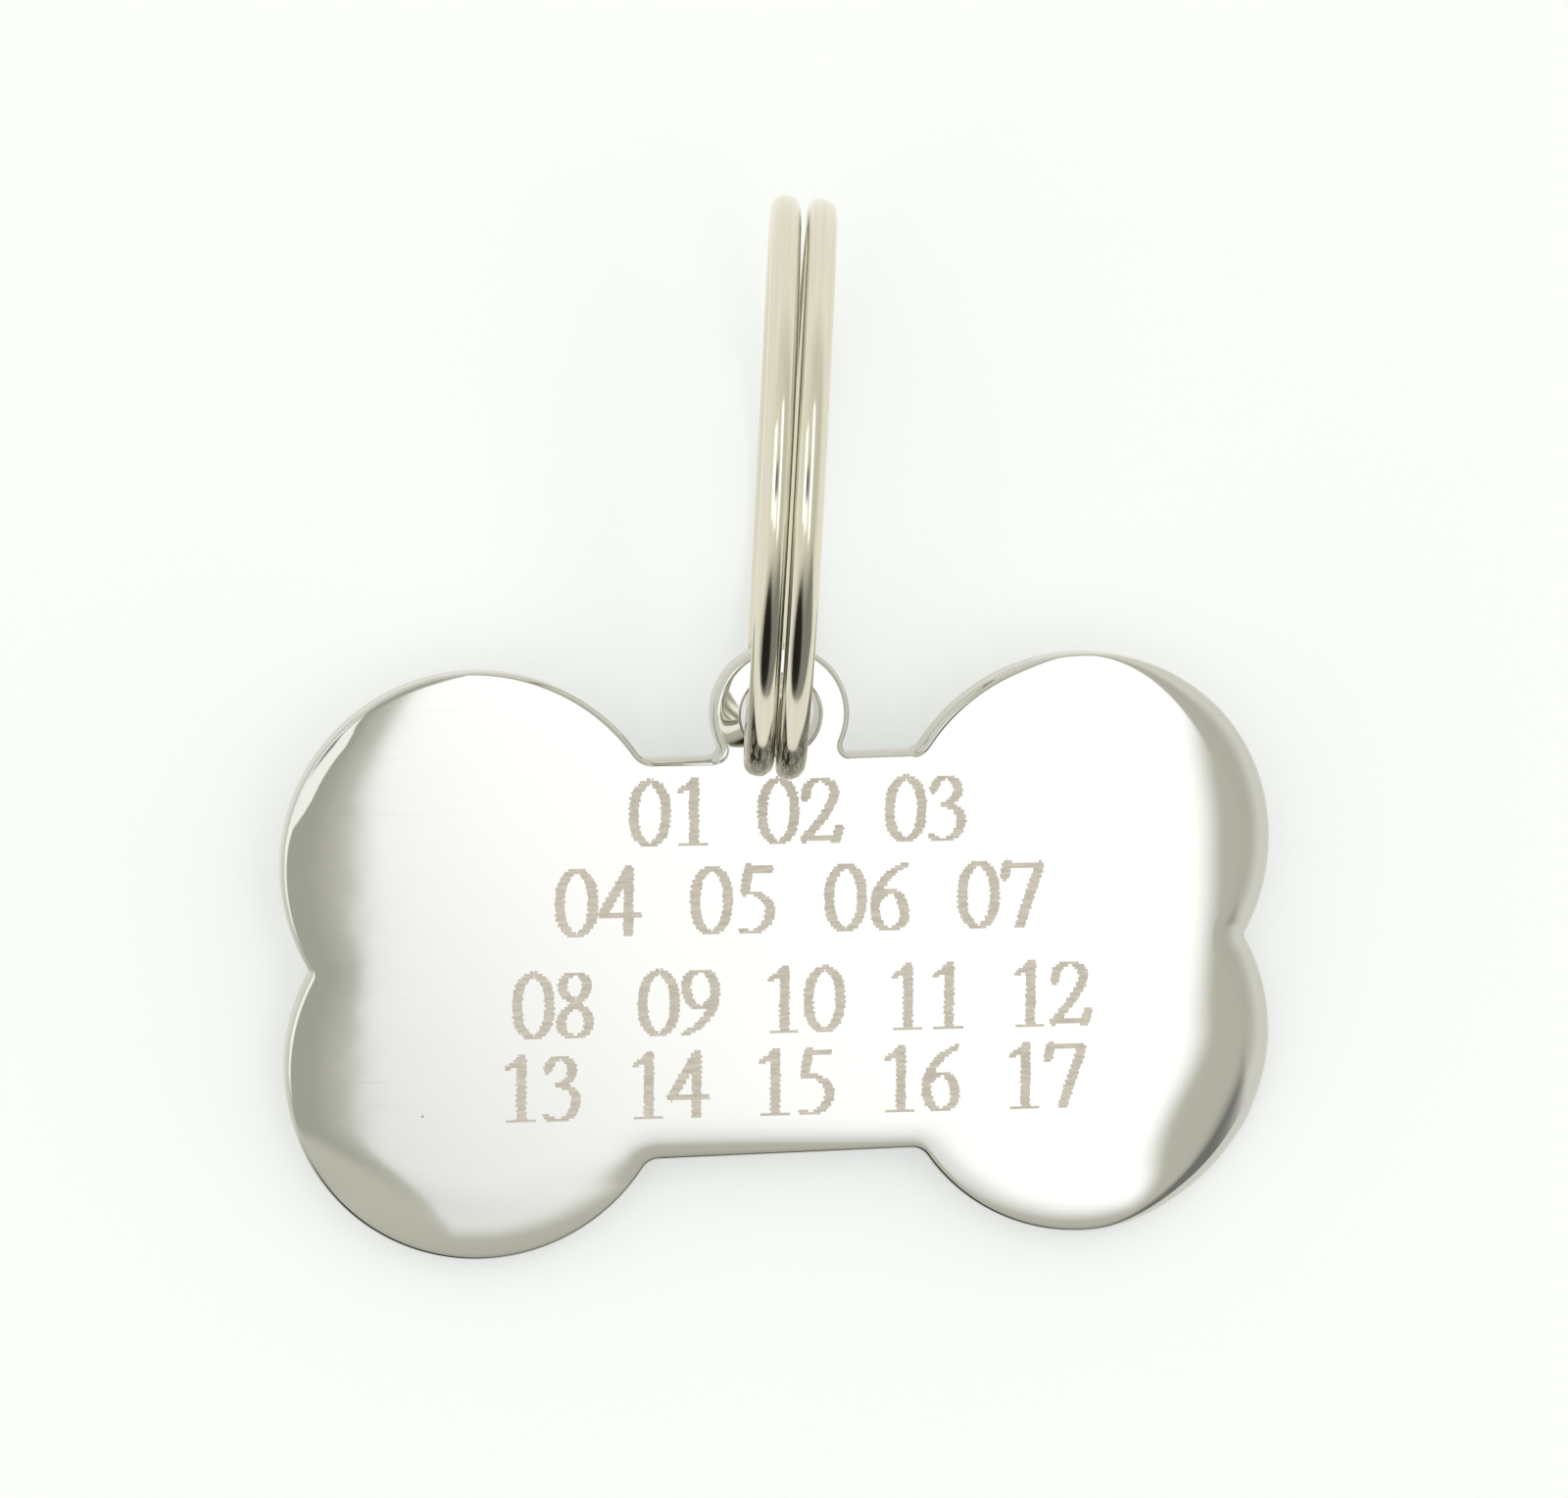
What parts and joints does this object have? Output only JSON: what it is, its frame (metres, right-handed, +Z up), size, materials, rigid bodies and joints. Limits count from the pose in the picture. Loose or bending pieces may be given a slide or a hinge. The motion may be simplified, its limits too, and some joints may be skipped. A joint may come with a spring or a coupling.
{
  "type": "pet id tag",
  "caption": "Bone-shaped polished steel id tag for a pet's collar, with a pierced ear and a split ring that swings in it.",
  "frame": {"origin": "on the surface that the part stands on, under the middle of its bounding box", "axes": "+Z up; +Y from the tag's lower lobes towards the ring; +X to the right of the engraved face"},
  "size_m": [0.038, 0.0386, 0.0213],
  "materials": {
    "polished_steel": "mirror-polished stainless steel with fine-line engraved counting numbers",
    "ring_wire": "bright drawn spring wire"
  },
  "bodies": {
    "tag": {"tag_plate": "polished_steel"},
    "ring": {"split_ring": "ring_wire"}
  },
  "joints": [
    {"name": "ring_swing", "type": "hinge", "parent": "tag", "child": "ring", "pos_m": [-0.00013, 0.00066, 0.00436], "axis": [0.9833, -0.0929, 0.1564], "range_deg": [-50, 0]}
  ]
}
